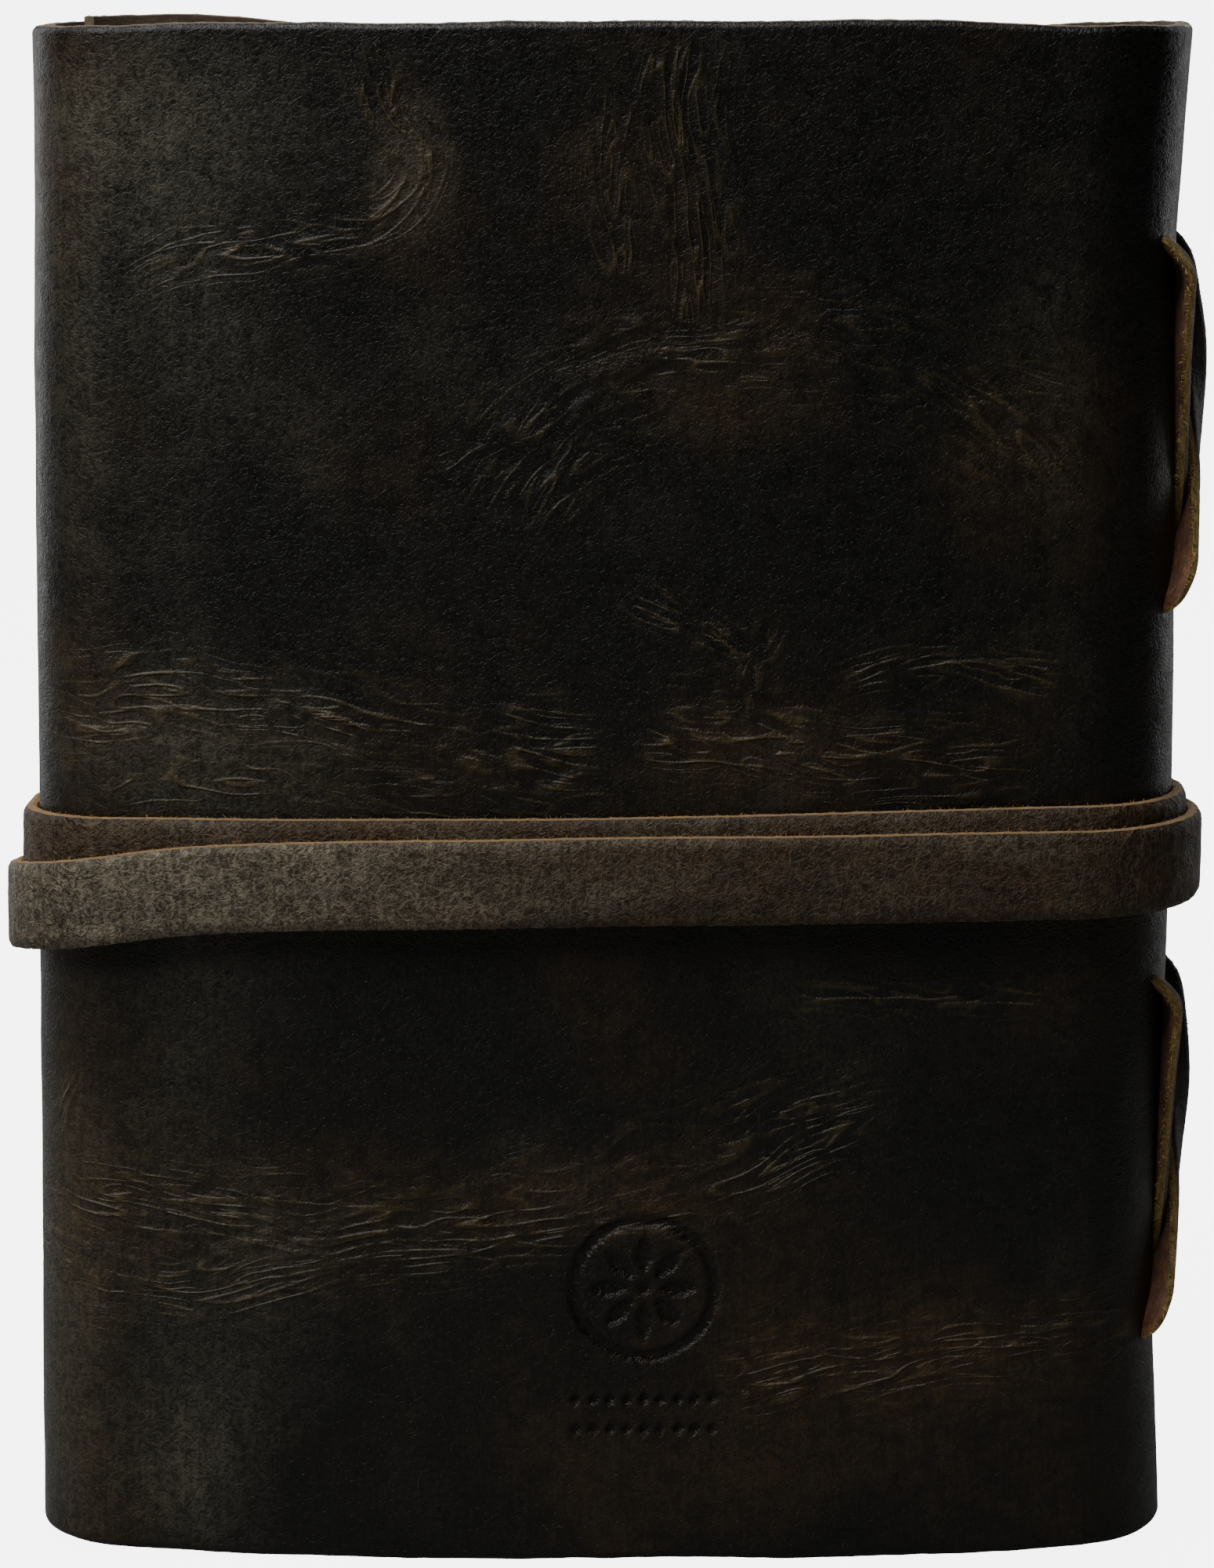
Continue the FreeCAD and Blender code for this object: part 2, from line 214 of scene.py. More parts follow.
class Loft:
    """A closed sheet. face and flesh are grids [column, row, channel], and rim points close their sides."""

    def __init__(self, face, flesh, rim, swell, fray, seed=1):
        self.step = (face.shape[1] - 1) // (flesh.shape[1] - 1)
        self.rim, self.faces_up, self.flesh_up = rim, face.shape[1], flesh.shape[1]
        across = unit(face[:, -1, PLACE] - face[:, 0, PLACE])
        upper = self.rim_band(face[:, -1], flesh[:, -1], across, swell, fray, seed)
        lower = self.rim_band(flesh[:, 0], face[:, 0], -across, swell, fray, seed + 1)
        bands = [face, upper, flesh[:, ::-1], lower]
        self.ring = np.concatenate([band[:, :-1] for band in bands], axis=1)
        normals = [self.normals(band[..., PLACE]) for band in bands]
        self.near = np.concatenate([n[:, :-1] for n in normals], axis=1)
        self.far = np.concatenate([n[:, 1:] for n in normals], axis=1)
        self.kind = np.repeat([0, 1, 2, 1], [band.shape[1] - 1 for band in bands])

    def rim_band(self, here, there, outward, swell, fray, seed):
        share = np.linspace(0, 1, self.rim + 2)[None, :, None]
        band = here[:, None] * (1 - share) + there[:, None] * share
        rough = Noise(seed)(np.arange(len(here))[:, None] * 0.9, np.arange(self.rim + 2)[None] * 1.3)
        push = (swell + fray * 2 * rough) * np.sin(share[..., 0] * math.pi)
        band[..., PLACE] += outward[:, None] * push[..., None]
        return band

    @staticmethod
    def normals(points):
        return unit(np.cross(np.gradient(points, axis=0), np.gradient(points, axis=1)))

    def part(self, first, last):
        """Points, faces, face materials and corner normals of some columns, closed at both ends."""
        loop = self.ring.shape[1]
        count = last - first
        points = self.ring[first : last + 1].reshape(-1, CHANNELS)
        column, row = np.meshgrid(np.arange(count), np.arange(loop), indexing="ij")
        after = (row + 1) % loop
        here, there = column * loop, (column + 1) * loop
        corners = [here + row, there + row, there + after, here + after]
        faces = np.stack(corners, axis=-1).reshape(-1, 4).tolist()
        near, far = self.near[first : last + 1], self.far[first : last + 1]
        normals = np.stack([near[:-1], near[1:], far[1:], far[:-1]], axis=2).reshape(-1, 3)
        kinds = np.tile(self.kind, count).tolist()
        caps = []
        for base, flip in ((0, False), (count * loop, True)):
            for polygon in self.cap():
                faces.append([base + i for i in (polygon[::-1] if flip else polygon)])
                kinds.append(1)
                end, inner = (last, last - 1) if flip else (first, first + 1)
                heading = self.ring[end, 0, PLACE] - self.ring[inner, 0, PLACE]
                caps.extend([unit(heading)] * len(polygon))
        return points, faces, kinds, np.concatenate([normals, np.array(caps)])

    def cap(self):
        """The polygons that close a ring, one for each gap between rows of the flesh side."""
        loop, top = self.ring.shape[1], self.faces_up + self.rim
        for i in range(self.flesh_up - 1):
            polygon = list(range(i * self.step, (i + 1) * self.step + 1))
            if i == self.flesh_up - 2:
                polygon += range(self.faces_up, top)
            polygon += [top + self.flesh_up - 2 - i, top + self.flesh_up - 1 - i]
            if i == 0:
                polygon += range(top + self.flesh_up, loop)
            yield polygon


def fibres(roots, directions, seed, long, thick):
    """Short loose fibres: a bent three-sided spike at each root. roots have every channel."""
    rng = np.random.default_rng(seed)
    points, faces, normals = [], [], []
    for root, direction in zip(roots, directions):
        way = unit(direction + rng.normal(0, 0.45, 3))
        side = unit(np.cross(way, rng.normal(0, 1, 3)))
        other = np.cross(way, side)
        reach = long * rng.uniform(0.4, 1.0)
        bend = rng.normal(0, 0.3, 3) * reach
        base = len(points)
        for height, width, drift in ((-0.15, thick, 0.0), (0.55, thick * 0.8, 0.35)):
            for turn in (0, 2.094, 4.189):
                spot = root.copy()
                offset = side * math.cos(turn) * width + other * math.sin(turn) * width
                spot[PLACE] = root[PLACE] + way * height * reach + offset + bend * drift
                points.append(spot)
        tip = root.copy()
        tip[PLACE] = root[PLACE] + way * reach + bend
        points.append(tip)
        shapes = [(0, 2, 1), (0, 1, 4, 3), (1, 2, 5, 4), (2, 0, 3, 5), (3, 4, 6), (4, 5, 6), (5, 3, 6)]
        for shape in shapes:
            faces.append([base + i for i in shape])
            spots = np.array([points[base + i][PLACE] for i in shape])
            normal = unit(np.cross(spots[1] - spots[0], spots[2] - spots[0]))
            normals.extend([normal] * len(shape))
    return np.array(points), faces, [1] * len(faces), np.array(normals)


def make(name, parts, materials):
    """One object from several parts, each of points, faces, face materials and corner normals."""
    points = np.concatenate([part[0] for part in parts])
    starts = np.cumsum([0] + [len(part[0]) for part in parts])
    faces = [[start + i for i in face] for start, part in zip(starts, parts) for face in part[1]]
    mesh = bpy.data.meshes.new(name)
    mesh.from_pydata((points[:, PLACE] * MM).tolist(), [], faces)
    mesh.polygons.foreach_set("material_index", [kind for part in parts for kind in part[2]])
    mesh.polygons.foreach_set("use_smooth", [True] * len(faces))
    for channel, label in ((SHEET, "sheet"), (CREASE, "crease"), (TONE, "tone")):
        layer = mesh.attributes.new(label, "FLOAT_VECTOR", "POINT")
        layer.data.foreach_set("vector", points[:, channel].astype(np.float32).ravel())
    for material in materials:
        mesh.materials.append(material)
    mesh.update()
    mesh.normals_split_custom_set(np.concatenate([part[3] for part in parts]).tolist())
    thing = bpy.data.objects.new(name, mesh)
    bpy.context.scene.collection.objects.link(thing)
    return thing


# -------------------- the hide: plan and creases
hide = Route(FLAP_EDGE, FLAP_Y, 1)
hide.run(FLAP_EDGE - FOLD_CX)
hide.arc(FOLD_R, 90)
hide.run(WALL)
hide.arc(FOLD_R, 90)
hide.run(SPINE_CX - FOLD_CX)
hide.arc(SPINE_R, 180)
hide.run(SPINE_CX - FOLD_CX)
hide.arc(LIP_R, LIP_TURN)
FLAP_END, WRAP_START, WRAP_END, BACK_START, BACK_END, FRONT_START, FRONT_END, HIDE_END = hide.marks[1:]
WALL_MIDDLE = (WRAP_START + WRAP_END) / 2
SPINE_SEAM = BACK_END + math.radians(75) * SPINE_R


def on_back(*points):
    """Points of the back cover, given as x and z, as places on the sheet."""
    return np.array([(BACK_START + x - FOLD_CX, z) for x, z in points], float)


def on_front(*points):
    """Points of the front cover, given as x and z."""
    return np.array([(FRONT_START + SPINE_CX - x, z) for x, z in points], float)


def on_flap(*points):
    return np.array([(FLAP_EDGE - x, z) for x, z in points], float)


# each crease: its line on the sheet, how far it spreads to a side, how high it stands, how much it lightens
CREASES = [
    (on_back((-77, 113.5), (-58, 115.5), (-48, 114), (-33, 111.5), (-15.7, 109.5), (3, 107.5)),
     7.0, 0.50, 1.0),
    (on_back((-68, 106), (-50, 107), (-33, 105), (-14, 104)), 4.5, 0.40, 0.6),
    (on_back((2, 114.5), (14, 112), (26, 109), (40, 107.5), (57, 107)), 6.5, 0.45, 0.6),
    (on_back((9.5, 203), (8.5, 191), (10, 180), (11.6, 170), (10.6, 160)), 5.0, 0.42, 0.5),
    (on_back((3, 196), (1, 182), (3, 170)), 3.5, 0.22, 0.2),
    (on_back((-32, 203), (-28, 192), (-24, 185), (-30, 178), (-44, 175), (-58, 172.5), (-63, 169)),
     3.6, 0.45, 0.8),
    (on_back((-10, 148), (-4, 156), (5.6, 161.5), (22.6, 162), (42.7, 157.5), (53, 149.5), (62, 141)),
     6.5, 0.46, 0.5),
    (on_back((-16, 140), (-10, 150), (-1, 157), (10, 159)), 8.0, 0.45, 0.3),
    (on_back((14, 165), (30, 160), (47, 158), (62, 154)), 4.5, 0.25, 0.3),
    (on_back((-23, 146), (-15.6, 148.6), (-7.5, 150)), 1.8, 0.35, 0.4),
    (on_back((1.6, 131), (9.7, 126.7), (18.8, 122.6), (22, 126)), 2.6, 0.40, 0.4),
    (on_back((18.8, 123), (18.3, 113)), 2.0, 0.30, 0.3),
    (on_back((-82, 50), (-54, 46.5), (-33.6, 45.5), (-7.7, 48.3), (13, 53.6), (28.4, 60), (41, 63.5)),
     7.0, 0.48, 0.8),
    (on_back((-82, 44), (-68, 38), (-50, 38), (-30, 43)), 5.5, 0.38, 0.7),
    (on_back((-8, 48), (6, 52), (18, 56)), 5.0, 0.30, 0.5),
    (on_back((12, 24.5), (33.9, 26.8), (54.6, 29.5), (76, 31)), 5.0, 0.36, 0.6),
    (on_back((23, 77), (40, 76), (59, 76)), 2.2, 0.22, 0.2),
    (on_back((-69, 65), (-71.5, 61), (-73, 56)), 1.6, 0.35, 0.5),
    (on_back((30, 118), (44, 121), (60, 118)), 3.0, 0.18, 0.2),
    (on_front((40, 203), (34, 180), (20, 164), (-8, 158), (-40, 162)), 5.0, 0.45, 0.6),
    (on_front((64, 70), (30, 62), (0, 66), (-30, 58), (-60, 60)), 6.0, 0.45, 0.6),
    (on_front((60, 26), (20, 34), (-15, 28)), 4.0, 0.35, 0.4),
    (on_flap((12, 150), (-10, 158), (-38, 150), (-70, 154)), 5.0, 0.45, 0.6),
    (on_flap((10, 52), (-14, 44), (-40, 50), (-72, 46)), 5.5, 0.45, 0.7),
    (on_flap((-20, 203), (-24, 184), (-18, 172)), 3.5, 0.35, 0.4),
]

# soft patches where the oil has drawn back, and along the left fold narrow grey strips that are painted
# sheen: centre on the sheet, half-width, half-height, brown, grey
PATCHES = [
    (on_back((-60, 190)), 16, 12, 0.3, 0.8), (on_back((-69, 160)), 5, 45, 0.1, 0.5),
    (on_back((-25, 184)), 6, 9, 0.9, 0.5), (on_back((-5, 186)), 8, 6, 0.4, 0.2),
    (on_back((15, 154)), 10, 6, 1.0, 0.0), (on_back((-4, 50)), 24, 7, 0.7, 0.0),
    (on_back((14, 36)), 13, 11, 0.5, 0.0), (on_back((30, 14)), 26, 8, 0.5, 0.1),
    (on_back((48, 150)), 18, 10, 0.35, 0.0),
    (on_back((-52, 111)), 18, 9, 0.5, 0.55), (on_back((18, 108)), 16, 6, 0.5, 0.2),
    (on_back((46, 110)), 14, 9, 0.6, 0.0), (on_back((-50, 44)), 24, 12, 0.5, 0.35),
    (on_back((2, 50)), 16, 6, 0.6, 0.1), (on_back((42, 27)), 30, 8, 0.9, 0.0),
    (on_back((-55, 14)), 9, 14, 0.6, 0.9), (on_back((-70, 20)), 6, 26, 0.6, 0.5),
    (on_back((40, 72)), 20, 9, 0.35, 0.1), (on_back((22, 12)), 22, 9, 0.4, 0.0),
    (on_back((60, 8)), 12, 8, 0.4, 0.0), (on_back((-72, 55)), 5, 40, 0.5, 0.3),
    (on_front((30, 165)), 24, 14, 0.5, 0.3), (on_front((-20, 62)), 30, 12, 0.6, 0.3),
    (on_front((50, 30)), 14, 20, 0.4, 0.4), (on_flap((0, 175)), 16, 16, 0.3, 0.5),
    (on_flap((-40, 48)), 26, 12, 0.6, 0.4), (on_flap((5, 20)), 9, 14, 0.5, 0.6),
]


def smooth_line(points, spacing=1.5):
    """A Catmull-Rom curve through the points."""
    ends = np.vstack([2 * points[0] - points[1], points, 2 * points[-1] - points[-2]])
    spots = []
    for a, b, c, d in zip(ends, ends[1:], ends[2:], ends[3:]):
        for share in np.linspace(0, 1, max(2, int(np.linalg.norm(c - b) / spacing)), endpoint=False):
            spots.append(0.5 * (2 * b + (c - a) * share + (2 * a - 5 * b + 4 * c - d) * share**2
                                + (3 * b - a - 3 * c + d) * share**3))
    return np.array(spots + [points[-1]])


def beside(line, s, z):
    """How far along a line places on the sheet lie, how far to its side, and how long the line is."""
    here, leg = line[:-1], np.diff(line, axis=0)
    long = np.linalg.norm(leg, axis=1)
    gone = np.concatenate([[0], np.cumsum(long)[:-1]])
    ds, dz = s[:, None] - here[:, 0], z[:, None] - here[:, 1]
    share = np.clip((ds * leg[:, 0] + dz * leg[:, 1]) / long**2, 0, 1)
    gap = np.hypot(ds - share * leg[:, 0], dz - share * leg[:, 1])
    nearest = np.argmin(gap, axis=1)
    pick = np.arange(len(s)), nearest
    side = np.sign((leg[:, 0] * dz - leg[:, 1] * ds)[pick])
    return (gone + share * long)[pick], gap[pick] * side, gone[-1] + long[-1]


NET_GAP, RIDGE_WIDE = 0.36, 0.12


def contours(field):
    """How far a smooth field is from the nearest of its evenly spaced levels."""
    return (np.mod(field / NET_GAP + 0.5, 1) - 0.5) * NET_GAP


def creased(s, z):
    """Relief of all creases, the strongest one's two nets and its mask, and how light they make the hide."""
    relief, light, second = (np.zeros(s.shape) for _ in range(3))
    own = np.zeros(s.shape + (3,))
    for number, (points, reach, height, lighten) in enumerate(CREASES):
        line = smooth_line(points)
        wide = reach * 2.6
        low, high = line.min(0) - wide, line.max(0) + wide
        inside = (s > low[0]) & (s < high[0]) & (z > low[1]) & (z < high[1])
        t, d, total = beside(line, s[inside], z[inside])
        uneven = 0.8 + 0.6 * LUMPS(t / 22 + number * 9, d / 9)
        fade = ease(t, -0.5, total * 0.14 + 1) * ease(total + 0.5 - t, 0, total * 0.14 + 1)
        mask = np.exp(-((d / reach) ** 2)) * fade * np.clip(uneven, 0.1, 1.3)
        drift = d + 1.6 * LUMPS(t / 14 + number * 5, 3.7)
        net = NETS(t / 24 + number * 7, drift / 3.1) + 0.14 * NETS(t / 6, drift / 2.6 + 40)
        fine = NETS(t / 13 + number * 11, drift / 2.3 + 20) + 0.2 * NETS(t / 4, drift / 1.8)
        broken = ease(LUMPS(t / 6 + number, drift / 2.5 + 9), -0.42, 0.12)
        ridges = np.exp(-((contours(net) / RIDGE_WIDE) ** 2)) * broken
        relief[inside] += 0.8 * height * mask * (ridges - 0.3)
        light[inside] += lighten * 0.18 * np.exp(-((d / reach / 1.3) ** 2)) * fade
        best = own[inside]
        stronger = mask > best[:, 2]
        second[inside] = np.where(stronger, best[:, 2], np.maximum(second[inside], mask))
        best[stronger] = np.stack([net, fine, mask], axis=-1)[stronger]
        own[inside] = best
    own[..., 2] = np.clip(own[..., 2] - 0.8 * second, 0, 1)
    return relief, own, light


# -------------------- the blind stamp
STAMP = on_back((4.9, 37.6))[0]
STAMP_RING, STAMP_LINE, STAMP_DEPTH = 9.3, 0.65, 0.42
PETAL_START, PETAL_END, PETAL_WIDE = 1.9, 7.3, 1.15
ROWS_BELOW, ROW_HALF, ROW_GAP = (-15.3, -19.4), 9.0, 2.25


def stamped(s, z):
    """1 where the stamp presses the hide, 0 elsewhere: a ring, eight petals and two rows of studs."""
    ds, dz = s - STAMP[0], z - STAMP[1]
    radius, angle = np.hypot(ds, dz), np.arctan2(dz, ds)
    pressed = 1 - ease(np.abs(radius - STAMP_RING), STAMP_LINE - 0.1, STAMP_LINE + 0.25)
    sector = math.pi / 4
    turned = np.mod(angle + sector / 2, sector) - sector / 2
    u, v = radius * np.cos(turned), radius * np.sin(turned)
    share = np.clip((u - PETAL_START) / (PETAL_END - PETAL_START), 0, 1)
    petal = np.abs(v) - PETAL_WIDE * np.sin(share * math.pi) + 9 * (share <= 0) + 9 * (share >= 1)
    pressed = np.maximum(pressed, 1 - ease(petal, -0.25, 0.1))
    pressed = np.maximum(pressed, 1 - ease(radius, 0.7, 1.1))
    for drop in ROWS_BELOW:
        across = np.mod(ds + ROW_GAP / 2, ROW_GAP) - ROW_GAP / 2
        stud = (np.abs(across) + np.abs(dz - drop)) + 9 * (np.abs(ds) > ROW_HALF + ROW_GAP / 2)
        pressed = np.maximum(pressed, 1 - ease(stud, 0.65, 1.0))
    return pressed


# -------------------- the hide: grid
FINE, COARSE, STAMP_GRID = 0.76, 1.15, 0.42
FRONT_DROP = 1.5
FLESH_STEP = 8
STAMP_LEFT, STAMP_RIGHT = STAMP[0] - 10.8, STAMP[0] + 10.8
STAMP_LOW, STAMP_HIGH = STAMP[1] - 21, STAMP[1] + 10.8


def hide_loft():
    """The hide from the flap's free edge to the front cover's lip, and the columns where pieces meet."""
    columns = ticks((0, 0.12), (0.5, 0.35), (2, 0.8), (FLAP_CORNER, COARSE), (FLAP_END, FINE),
                    (WALL_MIDDLE, FINE), (BACK_START, FINE), (STAMP_LEFT, STAMP_GRID), (STAMP_RIGHT, FINE),
                    (BACK_END, FINE), (SPINE_SEAM, FINE), (FRONT_START, COARSE), (FRONT_END, FINE),
                    (HIDE_END - 0.6, 0.2), (HIDE_END, 1))
    rows = grouped(ticks((0, 0.14), (0.42, 0.3), (1.1, FINE), (STAMP_LOW, STAMP_GRID), (STAMP_HIGH, FINE),
                         (HEIGHT - 1.1, 0.3), (HEIGHT - 0.42, 0.14), (HEIGHT, 1)), FLESH_STEP)
    s, v = (grid.ravel() for grid in np.meshgrid(columns, rows, indexing="ij"))
    shape = len(columns), len(rows), CHANNELS
    short = np.clip(FLAP_CORNER - s, 0, FLAP_CORNER)
    inset = FLAP_CORNER - np.sqrt(FLAP_CORNER**2 - short**2)
    z = inset + v * (1 - 2 * inset / HEIGHT)
    wave = 0.55 * EDGES(s / 31, 2.5) + 0.22 * EDGES(s / 9, 7.5) + 0.08 * EDGES(s / 2.2, 1.5)
    base = 0.5 * EDGES(s / 37, 12.5) + 0.2 * EDGES(s / 10, 17.5) + 0.08 * EDGES(s / 2.4, 1.5)
    front_side = ease(s, FRONT_START - 20, FRONT_START + 15) + 1 - ease(s, FLAP_END - 15, FLAP_END + 5)
    lip_up = 1.9 * ease(s, FRONT_END - 26, FRONT_END - 4)
    corner_up = lip_up - 0.2 * (1 - ease(s, BACK_START - 4, BACK_START + 12))
    top = wave + corner_up - FRONT_DROP * front_side
    z += ease(v, HEIGHT - 40, HEIGHT) * top + ease(40 - v, 0, 40) * base
    relief, own, light = creased(s, z)
    pressed = stamped(s, z)
    lumps = 0.30 * LUMPS.rough(s / 46, z / 46) + 0.10 * LUMPS.rough(s / 11 + 50, z / 14, 4)
    edge = np.minimum.reduce([v, HEIGHT - v, s, HIDE_END - s])
    rounded = -0.55 * (1 - np.clip(edge / 0.9, 0, 1)) ** 2
    out = lumps + relief * ease(edge, 0, 1.5) - STAMP_DEPTH * pressed + rounded
    # painted sheen: the hide is drawn greyer and less brown towards the fore-edge, standing in for the light
    # that falls from the left
    sheen_towards_fore_edge = ease(BACK_START + 60 - s, 0, 70)
    brown = 0.40 * TINTS.rough(s / 34, z / 40, 4) - 0.14 * sheen_towards_fore_edge
    grey = 0.40 * TINTS.rough(s / 29 + 70, z / 36, 4) - 0.12 + 0.30 * sheen_towards_fore_edge
    for centre, wide, high, add_brown, add_grey in PATCHES:
        near = np.exp(-(((s - centre[0, 0]) / wide) ** 2) - ((z - centre[0, 1]) / high) ** 2)
        brown, grey = brown + 0.5 * add_brown * near, grey + 0.8 * add_grey * near
    folded = np.exp(-(((s - BACK_START + 6) / 8) ** 2))
    sound = ease(edge, 0, 1.6)
    tone = np.stack([np.clip(brown + 0.7 * light + 0.4 * folded, 0, 1) * sound,
                     np.clip(grey - 0.3 * folded, 0, 1) * sound, pressed], axis=-1)
    x, y, nx, ny = hide.at(s)[:4]
    sheet = np.stack([s, z, 0 * s], axis=-1)
    face = np.concatenate([settle(np.stack([x + nx * out, y + ny * out, z], -1)), sheet, own, tone], axis=-1)
    depth = -HIDE + 0.2 * np.clip(1 - edge / 0.9, 0, 1) + 0.05 * LUMPS(s / 2.1, z / 2.1)
    back = settle(np.stack([x + nx * depth, y + ny * depth, z], axis=-1))
    flesh = np.concatenate([back, sheet + [0, 0, HIDE], 0 * own, tone], axis=-1)
    loft = Loft(face.reshape(shape), flesh.reshape(shape)[:, ::FLESH_STEP], rim=3, swell=0.12, fray=0.07)
    return loft, [int(np.argmin(np.abs(columns - mark))) for mark in (0, WALL_MIDDLE, SPINE_SEAM, HIDE_END)]


# -------------------- the strap
ROOT_Z, FRONT_Z, TURN_2_Z = (sum(span(node))[2] / 2 for node in ("strap_root", "strap_front", "strap_back_2"))
strap = Route(FLAP_EDGE - LAP, FRONT_Y + STRAP_OFF, -1)
strap.run(SPINE_CX - FLAP_EDGE + LAP)
strap.arc(SPINE_R + STRAP_OFF, 90)
strap.arc(SPINE_R + STRAP_OFF, 90)
strap.run(SPINE_CX - FOLD_CX)
strap.arc(FOLD_R + STRAP_OFF, 90)
strap.run(WALL)
strap.arc(FOLD_R + STRAP_OFF, 90)
strap.run(FLAP_EDGE + STRAP_THICK - FOLD_CX)
strap.run(SPINE_CX - FLAP_EDGE - STRAP_THICK, FRONT_Y + STRAP_OFF + STRAP_PITCH - FLAP_Y - STRAP_OFF)
strap.arc(SPINE_R + STRAP_OFF + STRAP_PITCH, 90)
strap.arc(SPINE_R + STRAP_OFF + STRAP_PITCH, 90)
strap.run(SPINE_CX - FOLD_CX)
strap.arc(FOLD_R + STRAP_OFF + STRAP_PITCH, 90)
strap.run(WALL)
strap.arc(FOLD_R + STRAP_OFF + STRAP_PITCH, 90)
strap.run(span("strap_tail")[1][0] - FOLD_CX)
STRAP_END = strap.marks[-1]
HINGES = [(strap.marks[k], strap.marks[k + 1]) for k in (1, 2, 4, 6, 9, 10, 12, 14)]
STRAP_NODES = ["strap_root", "strap_spine_1", "strap_back_1", "strap_foreedge_1", "strap_front",
               "strap_spine_2", "strap_back_2", "strap_foreedge_2"]
STRAP_BODIES = ["flap_body"] + [f"{node}_link" for node in STRAP_NODES[1:]] + ["strap_tail_link"]
STRAP_STEP, HEIGHT_STEPS = 0.6, 700


def strap_height(s):
    """Heights of the strap's middle line. Its second turn sinks towards and round the fore-edge."""
    m = strap.marks
    places = [0, m[1], m[3], m[3] + 32, m[3] + 58, m[3] + 98, m[4], m[5], m[6], m[7], m[8], m[9],
              m[11], m[11] + 58, m[11] + 98, m[12] - 5, m[12] + 8, m[13], m[14], m[15], STRAP_END]
    lifts = [ROOT_Z, ROOT_Z + 1.0, ROOT_Z + 1.2, ROOT_Z + 0.8, ROOT_Z + 0.3, ROOT_Z - 0.2, ROOT_Z - 0.2,
             ROOT_Z - 0.9, ROOT_Z - 1.4, FRONT_Z - 0.9, FRONT_Z - 0.7, FRONT_Z - 0.6,
             TURN_2_Z + 0.5, TURN_2_Z + 0.3, TURN_2_Z - 0.5, TURN_2_Z - 1.7, TURN_2_Z - 4.2, TURN_2_Z - 6.5,
             TURN_2_Z - 7.9, TURN_2_Z - 10.0, TURN_2_Z - 12.6]
    spots = np.linspace(0, STRAP_END, HEIGHT_STEPS)
    line = np.interp(spots, places, lifts)
    window = np.hanning(31) / np.hanning(31).sum()
    smooth = np.convolve(np.pad(line, 15, mode="edge"), window, mode="valid")
    return np.interp(s, spots, smooth)


def bends(s):
    """1 where the strap goes round a fold of the hide, 0 on its runs."""
    near = [np.exp(-(((s - (a + b) / 2) / ((b - a) * 0.42)) ** 2)) for a, b in HINGES]
    return np.clip(sum(near), 0, 1)


def strap_loft():
    steps = np.linspace(0, STRAP_END, int(STRAP_END / STRAP_STEP))
    across = np.linspace(1, -1, 17)
    s, a = (grid.ravel() for grid in np.meshgrid(steps, across, indexing="ij"))
    shape = len(steps), len(across), CHANNELS
    x, y, nx, ny, tx, ty = strap.at(s)
    slope = np.gradient(strap_height(steps), steps).repeat(len(across))
    wide = STRAP_WIDE / 2 + 0.16 * EDGES(s / 24, np.sign(a) * 3.3) + 0.05 * EDGES(s / 1.6, np.sign(a) * 9.3)
    lie = 1 / np.sqrt(1 + slope**2)
    lap = 1 - ease(s, LAP - 1.5, LAP + 2.5)
    thick = STRAP_THICK - 0.75 * lap
    lift = -0.02 * lap
    sink = TAIL_SINK * ease(s, strap.marks[15] + 20, STRAP_END - 2)

    def sheet_at(height):
        reach = a * wide * lie
        height = height - sink
        spot = np.stack([x + nx * height - tx * slope * reach, y + ny * height - ty * slope * reach,
                         strap_height(s) + reach], axis=-1)
        return settle(spot)

    bend = bends(s)
    folds = NETS(s / 2.4, a * 0.9) + 0.4 * NETS(s / 1.3 + 30, a * 1.6)
    relief = 0.16 * bend * np.exp(-((folds / 0.2) ** 2)) + 0.07 * LUMPS.rough(s / 13, a * 1.5) - 0.05
    shoulder = -0.42 * ease(np.abs(a), 0.84, 1.0) - 0.12 * a**2
    outer = ease(s, strap.marks[9], strap.marks[10])
    # painted sheen: the outer turn is drawn greyer and less brown towards the left, standing in for the light
    # from that side
    sheen_towards_left = outer * ease(-x, -22, 68)
    tone_brown = np.clip(0.65 - 0.40 * sheen_towards_left + 0.4 * TINTS.rough(s / 30, a, 4) + 0.2 * bend, 0, 1)
    tone_grey = np.clip(0.04 + 0.80 * sheen_towards_left - 0.3 * bend + 0.3 * TINTS.rough(s / 24 + 40, a * 1.2, 4), 0, 1)
    own = np.stack([folds, NETS(s / 0.9 + 9, a * 1.1), bend * 0.8], axis=-1)
    tone = np.stack([tone_brown, tone_grey, 0 * s], axis=-1)
    sheet = np.stack([s + 500, a * STRAP_WIDE / 2, 0 * s], axis=-1)
    face = np.concatenate([sheet_at(thick + relief + shoulder), sheet, own, tone], axis=-1).reshape(shape)
    under = np.concatenate([sheet_at(lift + 0.06 * np.abs(a)), sheet + [0, 0, 2], 0 * own, tone], axis=-1)
    loft = Loft(face, under.reshape(shape)[:, ::2], rim=3, swell=0.10, fray=0.10, seed=5)
    cuts = [0] + [(one[1] + after[0]) / 2 for one, after in zip(HINGES, HINGES[1:])] + [STRAP_END]
    return loft, [int(np.argmin(np.abs(steps - cut))) for cut in cuts]


def edge_fibres(loft, first, last, seed, each=1.5, long=0.55, thick=0.045):
    """Loose fibres on the flesh side's corners of a loft between two columns."""
    rng = np.random.default_rng(seed)
    top = loft.faces_up + loft.rim
    count = int((last - first) * each)
    columns = rng.integers(first, last, count)
    rows = rng.choice([top, top - 1, top + loft.flesh_up - 1, top + loft.flesh_up], count)
    return fibres(loft.ring[columns, rows], loft.near[columns, rows], seed, long, thick)


